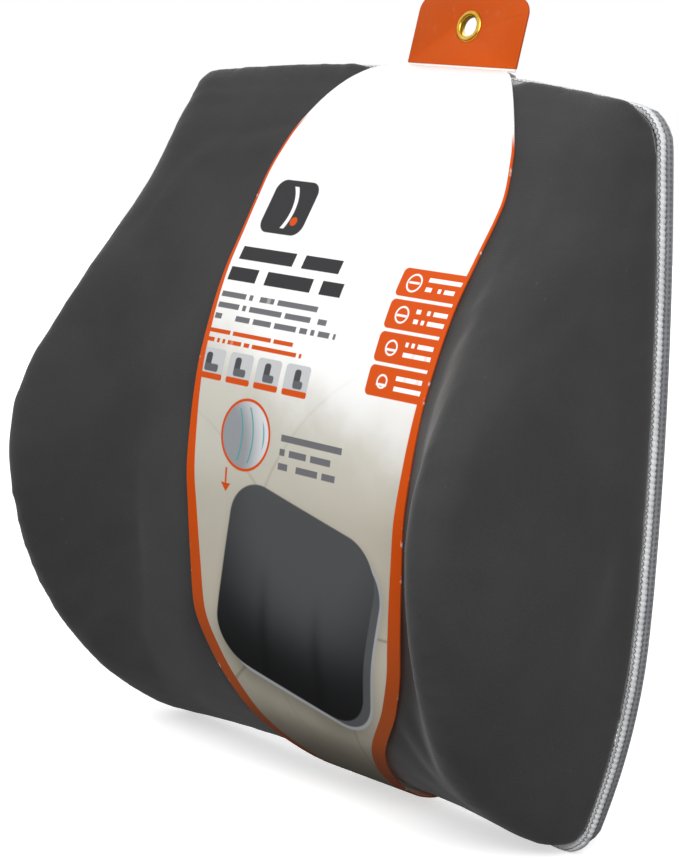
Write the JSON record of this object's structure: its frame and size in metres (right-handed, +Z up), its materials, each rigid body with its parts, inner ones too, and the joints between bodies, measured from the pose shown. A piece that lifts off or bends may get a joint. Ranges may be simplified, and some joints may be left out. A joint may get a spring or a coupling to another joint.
{
  "type": "lumbar support cushion",
  "caption": "Contoured foam lumbar cushion with a zipped knit cover, mesh back, buckled back strap and a printed card sleeve with a hang tab.",
  "frame": {"origin": "middle of the object's box, at the level that its lower corners stand on", "axes": "+Z up, front faces -Y, flat back faces +Y, X across the width"},
  "size_m": [0.3148, 0.1378, 0.365],
  "materials": {
    "foam": "soft open-cell foam",
    "liner_cloth": "thin knitted liner",
    "cover_knit": "matt fine black knit",
    "piping_cloth": "puckered light grey edging",
    "grey_mesh": "grey spacer mesh",
    "zipper_cloth": "woven tape",
    "zipper_plastic": "coil",
    "zipper_metal": "black lacquer",
    "webbing": "ribbed elastic webbing",
    "buckle_plastic": "fine moulded texture",
    "label_cloth": "satin ribbon",
    "printed_card": "coated and printed",
    "plain_card": "uncoated back",
    "eyelet_brass": "polished"
  },
  "bodies": {
    "cushion": {"foam_core": "foam", "inner_liner": "liner_cloth", "front_cover": "cover_knit", "front_piping": "piping_cloth", "side_band": "grey_mesh", "back_panel_lower": "grey_mesh", "back_panel_upper": "grey_mesh", "zipper_tape_upper": "zipper_cloth", "zipper_coil_upper": "zipper_plastic", "zipper_tape_lower": "zipper_cloth", "zipper_coil_lower": "zipper_plastic", "zipper_stop_left": "zipper_metal", "zipper_stop_right": "zipper_metal", "strap_patch_left": "webbing", "strap_patch_right": "webbing", "strap_short": "webbing", "strap_long": "webbing", "buckle_socket": "buckle_plastic", "care_label": "label_cloth", "sleeve_front": "printed_card", "sleeve_back": "plain_card"},
    "slider": {"zipper_slider": "zipper_metal"},
    "pull": {"zipper_pull": "zipper_metal"},
    "plug": {"buckle_plug": "buckle_plastic", "strap_tail": "webbing"},
    "keeper": {"strap_keeper": "buckle_plastic"},
    "hang_tab": {"hang_tab": "printed_card", "eyelet": "eyelet_brass", "eyelet_washer": "eyelet_brass"}
  },
  "joints": [
    {"name": "zipper_slide", "type": "slide", "parent": "cushion", "child": "slider", "axis": [1, 0, 0], "range_m": [0, 0.249]},
    {"name": "pull_flip", "type": "hinge", "parent": "slider", "child": "pull", "pos_m": [-0.12491, 0.06132, 0.05646], "axis": [0, 0, 1], "range_deg": [0, 180]},
    {"name": "buckle_release", "type": "slide", "parent": "cushion", "child": "plug", "axis": [1, 0, 0], "range_m": [0, 0.022], "deforming": ["strap_long"]},
    {"name": "keeper_slide", "type": "slide", "parent": "cushion", "child": "keeper", "axis": [1, 0, 0], "range_m": [0, 0.02]},
    {"name": "tab_fold", "type": "hinge", "parent": "cushion", "child": "hang_tab", "pos_m": [0.024, 0.05437, 0.33361], "axis": [1, 0, 0], "range_deg": [-75, 75]}
  ]
}
